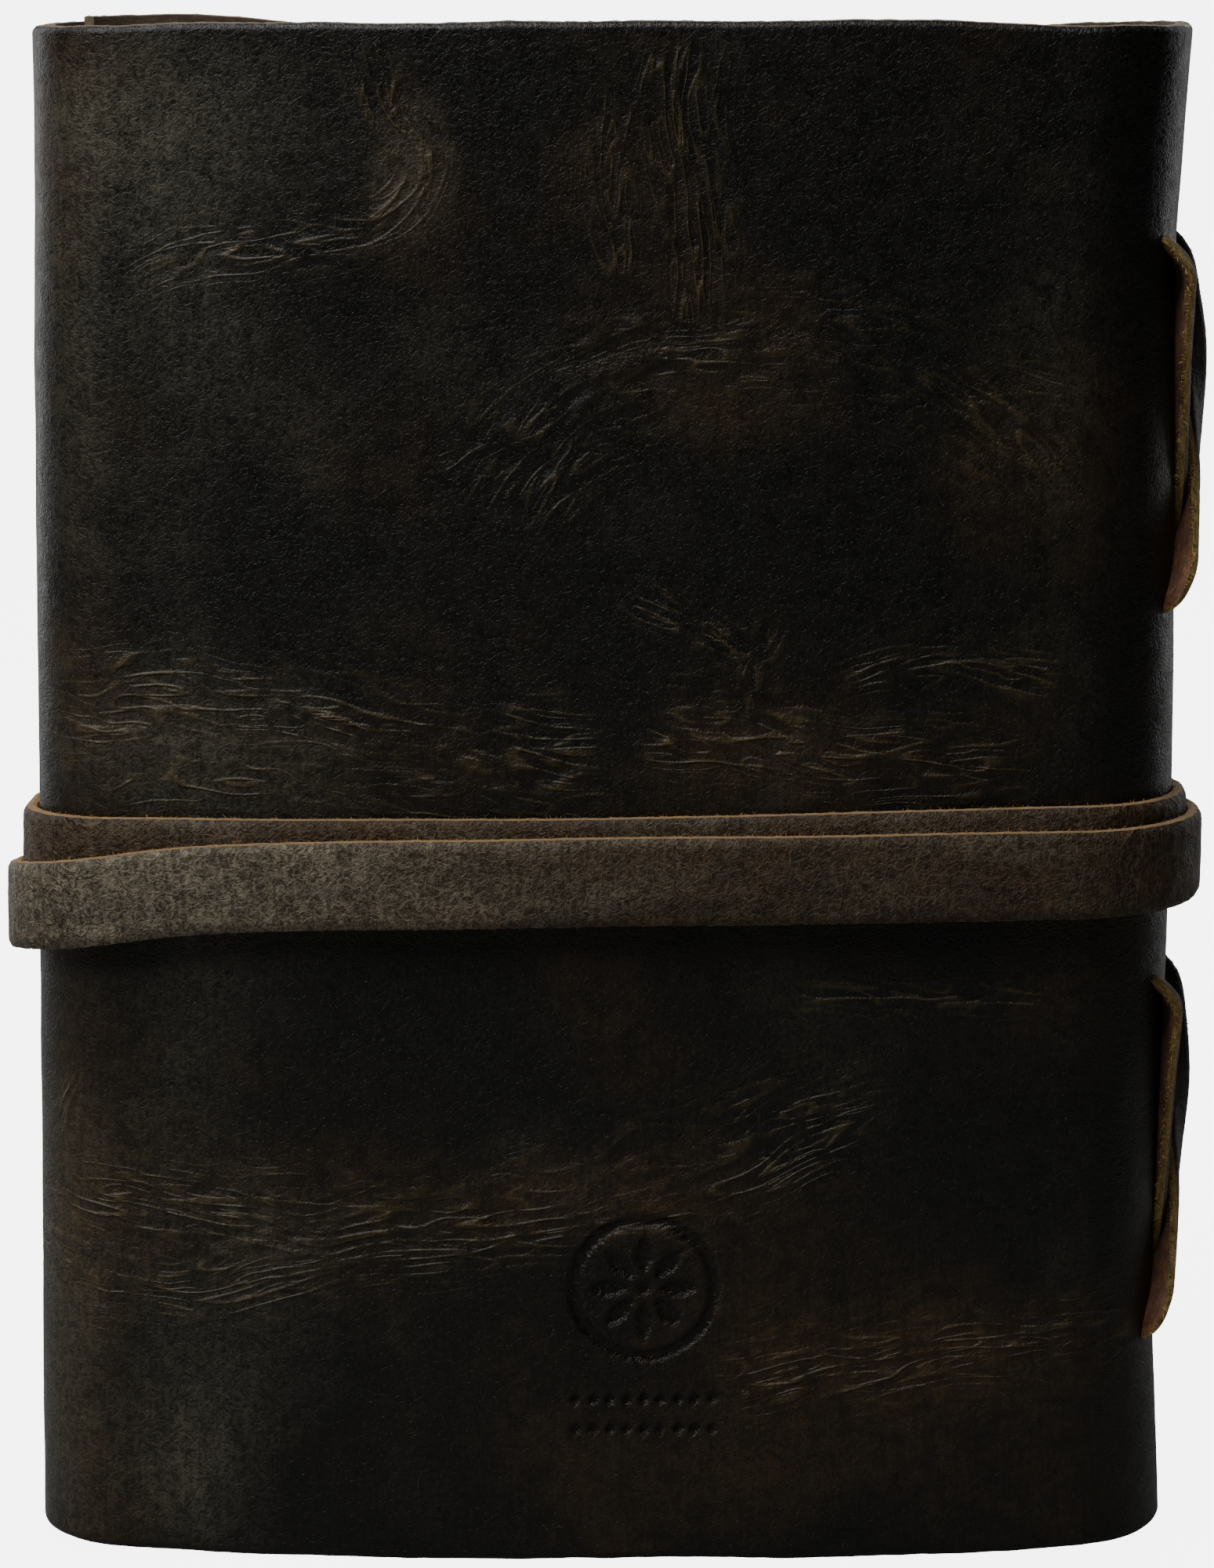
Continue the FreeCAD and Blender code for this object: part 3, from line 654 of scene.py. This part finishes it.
# -------------------- thongs
def filleted(points, radius, count=7):
    """The same broken line with each corner rounded by a quadratic curve."""
    spots = [points[0]]
    for before, here, after in zip(points, points[1:], points[2:]):
        back, on = before - here, after - here
        cut = min(radius, np.linalg.norm(back) / 2, np.linalg.norm(on) / 2)
        start, end = here + unit(back) * cut, here + unit(on) * cut
        for share in np.linspace(0, 1, count):
            spots.append(start * (1 - share) ** 2 + here * 2 * share * (1 - share) + end * share**2)
    return np.array(spots + [points[-1]])


def resampled(points, spacing):
    gone = np.concatenate([[0], np.cumsum(np.linalg.norm(np.diff(points, axis=0), axis=1))])
    spots = np.linspace(0, gone[-1], int(gone[-1] / spacing))
    return np.stack([np.interp(spots, gone, column) for column in points.T], axis=-1), spots


def thong_loft(low, high, top_y, low_y, crest, twist, seed):
    """One thong: up the fold of a section, out at the top, down over the spine and in again at the bottom.
    twist is how many degrees its grain turns towards the back cover, from near the bottom to near the top."""
    middle = (low + high) / 2
    seat = SPINE_X - 0.15
    route = np.array([
        (58.2, top_y, low + 3), (58.2, top_y, high - 1.2), (seat - 1.5, top_y, high - 0.6),
        (seat + 1.0, top_y * 0.86, high - 3.2), (crest, SPINE_CY + (top_y - SPINE_CY) * 0.62, middle + 10),
        (crest, SPINE_CY + (top_y - SPINE_CY) * 0.30, middle - 7), (seat + 0.9, low_y * 0.86, low + 4.2),
        (seat - 1.2, low_y, low + 0.9), (60.0, low_y, low + 0.9)], float)
    points, gone = resampled(filleted(filleted(route, 3.2), 1.6), 0.45)
    tangent = unit(np.gradient(points, axis=0))
    turn = -np.radians(np.interp(points[:, 2], (low + 5, middle - 9, middle + 6, high - 6), twist))
    outward = np.stack([np.cos(turn), np.sin(turn), np.zeros(len(points))], -1)
    outside = ease(points[:, 0], 66, 74)[:, None]
    upright = np.array([0, 0, 1.0]) * np.where(points[:, 2:] > middle, 1, -1)
    inner = np.array([1.0, 0, 0]) * np.where(points[:, :1] < 60, 1, 0)
    normal = unit(outside * outward + (1 - outside) * (upright * (points[:, :1] > 60) + inner) + 1e-3)
    kernel = np.hanning(15)
    smooth = [np.convolve(np.pad(column, 7, mode="edge"), kernel, "valid") for column in normal.T]
    normal = np.stack(smooth, axis=-1)
    normal = unit(normal - tangent * (normal * tangent).sum(-1, keepdims=True))
    side = np.cross(tangent, normal)
    across = np.linspace(1, -1, 11)
    wobble = 0.18 * EDGES(gone / 9, seed * 3.1)[:, None]
    grid = np.zeros((2, len(points), len(across), CHANNELS))
    for layer, depth in enumerate((THONG_THICK / 2, -THONG_THICK / 2)):
        rounding = (0.45 if layer == 0 else 0.2) * ease(np.abs(across), 0.7, 1.0)[None]
        rough = (0.06, 0.16)[layer] * LUMPS(gone[:, None] / 1.3 + seed, across[None] * 2.4)
        height = depth - np.sign(depth) * rounding + rough
        reach = across[None] * (THONG_WIDE / 2 + wobble)
        place = points[:, None] + side[:, None] * reach[..., None] + normal[:, None] * height[..., None]
        grid[layer, ..., PLACE] = settle(place)
        grid[layer, ..., 3] = gone[:, None] + seed * 40
        grid[layer, ..., 4] = across[None] * THONG_WIDE / 2
        grid[layer, ..., 5] = layer * THONG_THICK
        grid[layer, ..., TONE] = [0.4, 0.3, 0]
    return Loft(grid[0], grid[1][:, ::2], rim=3, swell=0.12, fray=0.24, seed=seed + 60)


# -------------------- paper
def leaf_lofts(centre, half, side, seed):
    """The leaves of half a section, from its fold to the fore-edge. side is 1 towards the front cover."""
    lofts = []
    rows = np.linspace(0, 1, 66)
    for number in range(LEAVES):
        radius = (number + 0.75) * half / (LEAVES + 0.25)
        turn = np.linspace(0, math.pi / 2, 6)
        x_fold, y_fold = SPINE_CX + radius * np.cos(turn), radius * np.sin(turn)
        flat = np.linspace(SPINE_CX, LEAF_EDGE, 19)[1:]
        x = np.concatenate([x_fold, flat])
        y = np.concatenate([y_fold, np.full(len(flat), radius)])
        nx = np.concatenate([np.cos(turn), np.zeros(len(flat))])
        ny = np.concatenate([np.sin(turn), np.ones(len(flat))])
        key = seed + number * 7.3
        reach = ease(-x, -20, 62)[:, None]
        fore = 0.5 * EDGES(rows * 9 + key, key) + 0.4 * EDGES(rows * 31, key)
        fore = fore + 0.2 * EDGES(rows * 80, key) - 0.3
        low = LEAF_LOW + 0.35 * EDGES(x / 9, key + 3) + 0.35 * EDGES(x / 30, key + 5)
        high = LEAF_HIGH + 0.35 * EDGES(x / 9, key + 8) + 0.35 * EDGES(x / 30, key + 6)
        z = low[:, None] * (1 - rows) + high[:, None] * rows
        ripple = 0.16 * LUMPS(x[:, None] / 33 + seed, z / 47) * ease(-x, -50, 0)[:, None]
        sides = []
        for offset in (LEAF_THICK / 2, -LEAF_THICK / 2):
            px = x[:, None] + nx[:, None] * offset - fore[None] * reach
            py = centre + side * (y[:, None] + ny[:, None] * offset) + ripple
            place = settle(np.stack([np.broadcast_to(px, z.shape), py, z], axis=-1))
            layer = np.zeros(z.shape + (CHANNELS,))
            layer[..., PLACE] = place
            layer[..., SHEET] = np.stack([px + key * 11, z, 0 * z + number], axis=-1)
            sides.append(layer)
        face, flesh = sides
        if side < 0:
            face, flesh = face[::-1], flesh[::-1]
        lofts.append(Loft(face, flesh, rim=0, swell=0, fray=0))
    return lofts


# -------------------- materials
def srgb(*values):
    """A colour as the shader wants it, from values of 0 to 255."""
    return tuple(v / 3294.6 if v <= 10.3 else ((v / 255 + 0.055) / 1.055) ** 2.4 for v in values) + (1.0,)


class Paint:
    """A material's node tree, with one short call for each kind of node."""

    def __init__(self, name):
        self.material = bpy.data.materials.new(name)
        self.material.use_nodes = True
        self.tree = self.material.node_tree
        self.shader = self.tree.nodes["Principled BSDF"]

    def node(self, kind, inputs=None, **settings):
        made = self.tree.nodes.new(kind)
        for key, value in settings.items():
            setattr(made, key, value)
        for key, value in (inputs or {}).items():
            self.feed(made.inputs[key], value)
        return made

    def feed(self, socket, value):
        if isinstance(value, bpy.types.NodeSocket):
            self.tree.links.new(value, socket)
        else:
            socket.default_value = value

    def attribute(self, name):
        return self.node("ShaderNodeAttribute", attribute_name=name).outputs["Vector"]

    def parts(self, vector):
        return self.node("ShaderNodeSeparateXYZ", {0: vector}).outputs

    def scaled(self, vector, *scale):
        return self.node("ShaderNodeVectorMath", {0: vector, 1: scale}, operation="MULTIPLY").outputs[0]

    def noise(self, vector, scale, detail=3.0, roughness=0.5, distortion=0.0):
        inputs = {"Vector": vector, "Scale": scale, "Detail": detail}
        inputs.update({"Roughness": roughness, "Distortion": distortion})
        return self.node("ShaderNodeTexNoise", inputs).outputs[0]

    def between(self, value, low, high, to_low=0.0, to_high=1.0):
        inputs = {0: value, 1: low, 2: high, 3: to_low, 4: to_high}
        return self.node("ShaderNodeMapRange", inputs, interpolation_type="SMOOTHSTEP").outputs[0]

    def math(self, operation, first, second=0.0):
        return self.node("ShaderNodeMath", {0: first, 1: second}, operation=operation).outputs[0]

    def times(self, first, second):
        return self.math("MULTIPLY", first, second)

    def plus(self, first, second):
        return self.math("ADD", first, second)

    def thin(self, value, width):
        """1 where a noise crosses its middle value, falling to 0 at width to each side."""
        gap = self.math("ABSOLUTE", self.math("SUBTRACT", value, 0.5))
        return self.between(gap, 0.0, width, 1.0, 0.0)

    def level(self, value, width):
        """1 on the evenly spaced levels of a smooth field, falling to 0 at width to each side."""
        return self.between(self.math("PINGPONG", value, NET_GAP / 2), 0.0, width, 1.0, 0.0)

    def mix(self, share, first, second):
        made = self.node("ShaderNodeMix", data_type="RGBA")
        self.feed(made.inputs[0], share)
        self.feed(made.inputs[6], first)
        self.feed(made.inputs[7], second)
        return made.outputs[2]

    def bump(self, height, distance):
        inputs = {"Height": height, "Distance": distance, "Strength": 1.0}
        return self.node("ShaderNodeBump", inputs).outputs[0]

    def finish(self, **sockets):
        for name, value in sockets.items():
            self.feed(self.shader.inputs[name.replace("_", " ")], value)
        return self.material


def grain_leather(name, dark, brown, grey, line, rough, flecks, pebble):
    """Oiled pull-up leather: dark, browner where it was pulled, with pale flecks and fine creases."""
    p = Paint(name)
    sheet, crease = p.attribute("sheet"), p.attribute("crease")
    # the second tone channel holds scuffs together with painted sheen that rises towards the left
    pull, scuff_and_sheen, pressed = p.parts(p.attribute("tone"))[:3]
    net, fine_net, mask = p.parts(crease)[:3]
    clouds = p.noise(sheet, 0.045, 5, 0.62, 0.4)
    blotches = p.noise(sheet, 0.32, 4, 0.6, 0.8)
    worms = p.thin(p.noise(sheet, 0.8, 1.5, 0.5, 0.9), 0.11)
    small_worms = p.thin(p.noise(sheet, 1.6, 1.5, 0.5, 0.9), 0.12)
    pores = p.noise(sheet, 3.4, 2, 0.6)
    streaks = p.noise(p.scaled(sheet, 1.0, 0.06, 1.0), 1.5, 3, 0.6)
    fray = p.between(p.noise(sheet, 0.16, 3, 0.6), 0.42, 0.58, 0.12, 1.0)
    lines = p.times(p.times(p.level(net, 0.07), mask), fray)
    fine_lines = p.times(p.times(p.level(fine_net, 0.08), mask),
                         p.between(p.noise(sheet, 0.22, 2), 0.4, 0.56))
    pulled = p.times(p.plus(pull, p.between(clouds, 0.5, 0.75, 0, 0.25)),
                     p.between(blotches, 0.3, 0.65, 0.35, 1.0))
    colour = p.mix(p.math("MINIMUM", pulled, 1.0), dark, brown)
    worm_share = p.times(p.plus(p.times(worms, 0.8), p.times(small_worms, 0.7)),
                         p.plus(p.plus(p.times(scuff_and_sheen, 0.75), p.times(pull, 0.18)), flecks))
    worm_share = p.times(worm_share, p.between(blotches, 0.3, 0.65, 0.6, 1.0))
    colour = p.mix(p.math("MINIMUM", worm_share, 1.0), colour, grey)
    # painted sheen as well as scuffs: the grey tone mixes in the grey colour, most towards the left
    colour = p.mix(p.times(scuff_and_sheen, p.between(blotches, 0.30, 0.70, 0.13, 0.30)), colour, grey)
    all_lines = p.math("MINIMUM", p.plus(lines, p.times(fine_lines, 0.7)), 1.0)
    colour = p.mix(p.times(all_lines, 0.48), colour, line)
    colour = p.mix(p.between(streaks, 0.35, 0.7, 0.0, 0.35), colour, dark)
    colour = p.mix(p.times(pressed, 0.6), colour, dark)
    height = p.plus(p.times(pores, 0.3), p.plus(p.times(worms, pebble), p.times(small_worms, 0.8 * pebble)))
    height = p.plus(height, p.plus(p.times(lines, 1.5), p.times(fine_lines, 1.1)))
    height = p.plus(height, p.times(blotches, 0.4))
    shine = p.plus(p.between(blotches, 0.3, 0.7, rough - 0.06, rough + 0.08), p.times(pull, 0.08))
    shine = p.math("SUBTRACT", shine, p.times(pressed, 0.12))
    normal = p.bump(height, 0.00016)
    return p.finish(Base_Color=colour, Roughness=shine, Normal=normal, Specular_IOR_Level=0.26)


def suede(name, dark, light, spot, depth=0.0003):
    """The flesh side: short matted nap."""
    p = Paint(name)
    sheet = p.attribute("sheet")
    nap = p.noise(p.scaled(sheet, 0.45, 1.0, 2.2), 2.4, 6, 0.75, 0.6)
    tufts = p.noise(p.scaled(sheet, 0.5, 1.0, 1.6), 0.9, 4, 0.65, 0.5)
    specks = p.noise(sheet, 3.5, 3, 0.7)
    colour = p.mix(p.between(nap, 0.3, 0.7), dark, light)
    colour = p.mix(p.between(tufts, 0.42, 0.6, 0.0, 0.8), colour, dark)
    colour = p.mix(p.between(specks, 0.5, 0.62, 0.0, 0.75), colour, spot)
    matt = p.between(nap, 0.3, 0.7, 0.82, 0.96)
    return p.finish(Base_Color=colour, Roughness=matt, Normal=p.bump(nap, depth),
                    Sheen_Weight=0.25, Sheen_Roughness=0.5, Specular_IOR_Level=0.25)


def rag_paper(name):
    """Handmade rag paper: warm white, with fibres and soft clouds."""
    p = Paint(name)
    sheet = p.attribute("sheet")
    clouds = p.noise(sheet, 0.12, 5, 0.65, 0.5)
    strands = p.thin(p.noise(sheet, 0.5, 2, 0.5, 2.2), 0.015)
    tooth = p.noise(sheet, 2.6, 4, 0.7)
    colour = p.mix(p.between(clouds, 0.35, 0.7), srgb(236, 226, 202), srgb(222, 208, 178))
    colour = p.mix(p.times(strands, 0.35), colour, srgb(176, 150, 112))
    colour = p.mix(p.between(tooth, 0.5, 0.8, 0.0, 0.25), colour, srgb(246, 240, 224))
    matt = p.between(tooth, 0.3, 0.7, 0.86, 0.96)
    normal = p.bump(tooth, 0.00012)
    return p.finish(Base_Color=colour, Roughness=matt, Normal=normal, Specular_IOR_Level=0.3)


hide_grain = grain_leather("hide_grain", srgb(12, 11, 9), srgb(62, 40, 12), srgb(86, 83, 70),
                           srgb(106, 90, 56), 0.38, 0.05, 0.20)
strap_grain = grain_leather("strap_grain", srgb(20, 14, 7), srgb(66, 42, 16), srgb(136, 126, 106),
                            srgb(40, 30, 20), 0.48, 0.07, 0.36)
thong_grain = grain_leather("thong_grain", srgb(24, 20, 17), srgb(52, 36, 22), srgb(70, 62, 52),
                            srgb(90, 66, 40), 0.5, 0.10, 0.3)
hide_cut = suede("hide_cut_edge", srgb(76, 56, 22), srgb(134, 106, 46), srgb(50, 38, 18))
strap_cut = suede("strap_cut_edge", srgb(124, 86, 28), srgb(186, 140, 50), srgb(84, 54, 18))
thong_cut = suede("thong_cut_edge", srgb(150, 118, 58), srgb(224, 196, 118), srgb(92, 50, 24))
hide_flesh = suede("hide_flesh", srgb(50, 38, 23), srgb(84, 66, 42), srgb(32, 25, 16), 0.0004)
strap_flesh = suede("strap_flesh", srgb(112, 78, 44), srgb(168, 124, 76), srgb(78, 54, 32), 0.0004)
thong_flesh = suede("thong_flesh", srgb(104, 54, 24), srgb(200, 132, 62), srgb(60, 28, 12), 0.0006)
paper = rag_paper("rag_paper")

# -------------------- pieces: the hide
HIDE_MATERIALS = [hide_grain, hide_cut, hide_flesh]
skin, joins = hide_loft()
hide_flap = make("hide_flap", [skin.part(joins[0], joins[1])], HIDE_MATERIALS)
hide_back = make("hide_back", [skin.part(joins[1], joins[2])], HIDE_MATERIALS)
hide_front = make("hide_front", [skin.part(joins[2], joins[3])], HIDE_MATERIALS)
hide.place(WRAP_START, 0)
hide.place(FLAP_END, 0)
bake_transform(hide_flap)
hide.place(BACK_START, 0)
hide.place(WRAP_END, 0)
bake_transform(hide_back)
hide.place((BACK_END + FRONT_START) / 2, 0)
hide.place(FRONT_START, 0)
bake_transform(hide_front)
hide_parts("flap")
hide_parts("back_cover", "spine_panel", "foreedge_wrap")
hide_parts("front_cover")

# -------------------- pieces: the strap
STRAP_MATERIALS = [strap_grain, strap_cut, strap_flesh]
ribbon, cuts = strap_loft()
for number, ((start, end), node) in enumerate(zip(HINGES, STRAP_NODES)):
    first, last = cuts[number], cuts[number + 1]
    parts = [ribbon.part(first, last), edge_fibres(ribbon, first, last, 100 + number)]
    piece = make(f"strap_length_{number + 1}", parts, STRAP_MATERIALS)
    strap.place(start, 0)
    strap.place(end, 0)
    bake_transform(piece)
    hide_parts(node, *(["strap_tail"] if number == len(HINGES) - 1 else []))

# -------------------- pieces: the thongs
THONG_MATERIALS = [thong_grain, thong_cut, thong_flesh]
UNDER_CREST, OVER_CREST = 75.4, 77.6
for number, name in enumerate(("upper", "lower")):
    low, high = span(f"{name}_thong_over")[0][2], span(f"{name}_thong_over")[1][2]
    for kind, top_y, low_y, crest, twist in (("over", FAR_Y, NEAR_Y, OVER_CREST, (-34, -6, 44, 58)),
                                             ("under", NEAR_Y, FAR_Y, UNDER_CREST, (14, 4, -8, -14))):
        seed = 5 + number * 2 + (kind == "over")
        loft = thong_loft(low, high, top_y, low_y, crest, twist, seed)
        last = len(loft.ring) - 1
        parts = [loft.part(0, last), edge_fibres(loft, 0, last, 200 + seed, each=4.0, long=0.9, thick=0.09)]
        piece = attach(make(f"{name}_lacing_{kind}", parts, THONG_MATERIALS), "journal")
        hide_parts(f"{name}_thong_{kind}")

# -------------------- pieces: the paper
HALF = (span("section_1_front_leaves")[1][1] - FAR_Y)
HALVES = {1: (("front", 1, "section_1_front_body"), ("rear", -1, "section_1_rear_body")),
          2: (("front", 1, "section_2_front_body"), ("rear", -1, None))}
for section, centre in ((1, FAR_Y), (2, NEAR_Y)):
    for name, side, body in HALVES[section]:
        seed = section * 100 + (side > 0) * 40
        parts = [loft.part(0, len(loft.ring) - 1) for loft in leaf_lofts(centre, HALF, side, seed)]
        piece = make(f"section_{section}_{name}_paper", parts, [paper, paper, paper])
        if body:
            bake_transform(piece)
        else:
            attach(piece, "journal")
        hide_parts(f"section_{section}_{name}_leaves",
                    *([f"section_{section}_fold"] if side > 0 else []))


# -------------------- floor, light and camera
FLOOR_GLOW, FLOOR_CAST = 6.0, 0.0


def seen_as(tree, socket, cast, seen):
    """Gives a part of the surround one strength as it is seen and another as it lights the object."""
    path = tree.nodes.new("ShaderNodeLightPath")
    shine = tree.nodes.new("ShaderNodeMapRange")
    tree.links.new(path.outputs["Is Camera Ray"], shine.inputs["Value"])
    shine.inputs["To Min"].default_value, shine.inputs["To Max"].default_value = cast, seen
    tree.links.new(shine.outputs["Result"], socket)


def floor():
    mesh = bpy.data.meshes.new("floor")
    half, drop = 40.0, -0.0004
    mesh.from_pydata([(-half, -half, drop), (half, -half, drop), (half, half, drop), (-half, half, drop)],
                     [], [(0, 1, 2, 3)])
    p = Paint("floor")
    p.finish(Base_Color=srgb(140, 140, 138), Roughness=0.9, Emission_Color=srgb(250, 250, 250))
    seen_as(p.tree, p.shader.inputs["Emission Strength"], FLOOR_CAST, FLOOR_GLOW)
    mesh.materials.append(p.material)
    thing = bpy.data.objects.new("floor", mesh)
    bpy.context.scene.collection.objects.link(thing)


def softbox(name, place, aim, wide, high, watts):
    light = bpy.data.lights.new(name, "AREA")
    light.shape, light.size, light.size_y, light.energy = "RECTANGLE", wide, high, watts
    lamp = bpy.data.objects.new(name, light)
    lamp.location = place
    way = np.array(aim, float) - np.array(place, float)
    tilt = math.acos(way[2] / -np.linalg.norm(way))
    lamp.rotation_euler = (tilt, 0, math.atan2(way[1], way[0]) - math.pi / 2)
    bpy.context.scene.collection.objects.link(lamp)


SEEN_SKY, CAST_SKY = 6.0, 0.010


def studio():
    """Soft light from above and the left, panels behind, and a surround that looks paler than it shines."""
    centre = (0, 0, 0.1)
    softbox("key", (-0.50, -0.40, 0.62), centre, 0.25, 0.25, 3.0)
    softbox("left_panel", (-0.52, 0.50, 0.2), centre, 0.35, 0.8, 1.7)
    softbox("right_panel", (0.56, 0.56, 0.25), centre, 0.2, 0.6, 0.8)
    softbox("rear", (0.10, 0.90, 0.50), centre, 0.6, 0.4, 4.0)
    softbox("top", (-0.20, -0.20, 0.85), centre, 0.7, 0.22, 6.0)
    world = bpy.data.worlds.new("studio")
    world.use_nodes = True
    bpy.context.scene.world = world
    tree = world.node_tree
    tree.nodes["Background"].inputs["Color"].default_value = (0.96, 0.98, 1.0, 1)
    seen_as(tree, tree.nodes["Background"].inputs["Strength"], CAST_SKY, SEEN_SKY)


CAMERA_LENS, CAMERA_PLACE, CAMERA_DIP = 116.7, (0, -0.668, 0.225), 10.46


def camera():
    data = bpy.data.cameras.new("camera")
    data.sensor_width, data.lens = 36.0, CAMERA_LENS
    data.clip_start, data.clip_end = 0.02, 50.0
    eye = bpy.data.objects.new("camera", data)
    eye.location = CAMERA_PLACE
    eye.rotation_euler = (math.radians(90 - CAMERA_DIP), 0, 0)
    bpy.context.scene.collection.objects.link(eye)
    bpy.context.scene.camera = eye


floor()
studio()
camera()
